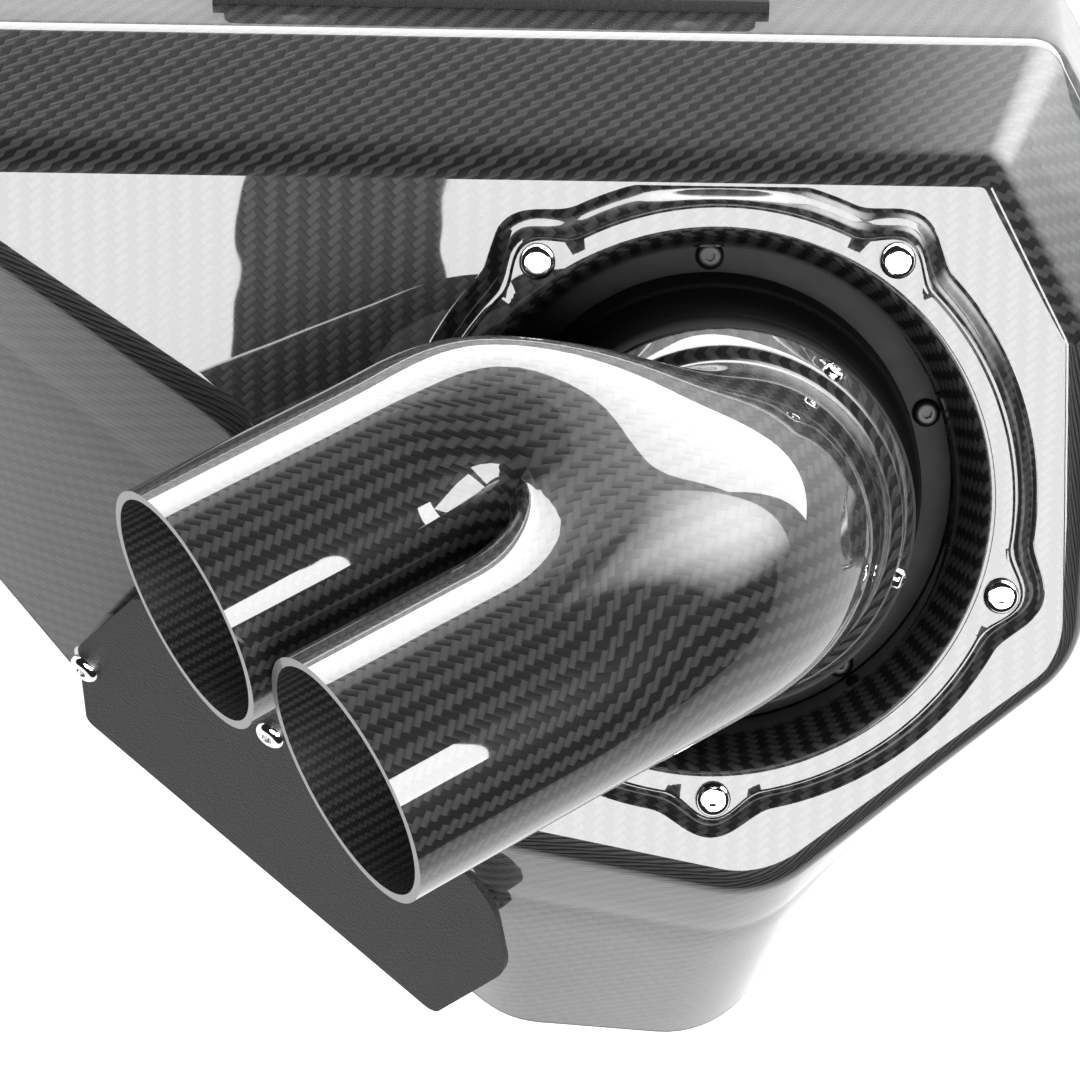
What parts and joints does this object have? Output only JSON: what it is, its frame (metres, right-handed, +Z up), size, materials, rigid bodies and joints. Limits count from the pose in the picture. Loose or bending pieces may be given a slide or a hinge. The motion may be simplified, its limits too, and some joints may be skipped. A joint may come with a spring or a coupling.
{
  "type": "exhaust muffler",
  "caption": "Carbon shell motorcycle muffler with a lobed outlet ring, a twin round outlet elbow, a slip joint inlet with hinged retaining springs and a heat shield.",
  "frame": {"origin": "centre of the flat base under the outlet ring's centre", "axes": "+Z up along the outlet ring's axis, +X towards the inlet, +Y towards the mounting bracket"},
  "size_m": [0.4983, 0.35, 0.2725],
  "materials": {
    "carbon": "glossy clear coat over black 2x2 twill carbon fibre",
    "carbon_matt": "plain black carbon laminate, satin",
    "carbon_inner": "smooth black moulded laminate, glossy",
    "rubber": "matt black",
    "gasket_sheet": "compressed graphite fibre sheet",
    "stainless": "brushed stainless steel",
    "polished_steel": "polished stainless steel",
    "spring_steel": "bright zinc plated spring wire",
    "brass": "brass threaded insert",
    "wool": "long strand glass wool",
    "powder_coat": "fine textured matt black powder coat"
  },
  "bodies": {
    "muffler": {"body_shell": "carbon", "base_plate": "carbon_matt", "base_gasket": "rubber", "base_screws": "stainless", "outlet_ring": "carbon", "ring_gasket": "rubber", "ring_screws": "polished_steel", "ring_inserts": "brass", "neck_collar": "carbon_inner", "neck_screws": "stainless", "outlet_elbow": "carbon", "elbow_screws": "polished_steel", "outlet_riser": "stainless", "front_baffle": "stainless", "rear_baffle": "stainless", "perforated_core": "stainless", "packing_wool": "wool", "inlet_gasket": "gasket_sheet", "inlet_flange": "stainless", "inlet_screws": "polished_steel", "inlet_pipe": "stainless", "hook_tab_left": "stainless", "hook_tab_right": "stainless", "mount_bracket": "powder_coat", "bracket_screws": "polished_steel", "bracket_nuts": "stainless", "mount_grommets": "rubber", "mount_sleeves": "stainless", "heat_shield": "powder_coat", "shield_standoffs": "stainless", "shield_screws": "polished_steel"},
    "spring_left": {"spring_left": "spring_steel"},
    "spring_right": {"spring_right": "spring_steel"}
  },
  "joints": [
    {"name": "spring_left_swing", "type": "hinge", "parent": "muffler", "child": "spring_left", "pos_m": [0.19, 0.0484, 0.052], "axis": [0, 0, 1], "range_deg": [0, 110]},
    {"name": "spring_right_swing", "type": "hinge", "parent": "muffler", "child": "spring_right", "pos_m": [0.19, -0.0324, 0.052], "axis": [0, 0, -1], "range_deg": [0, 110]}
  ]
}
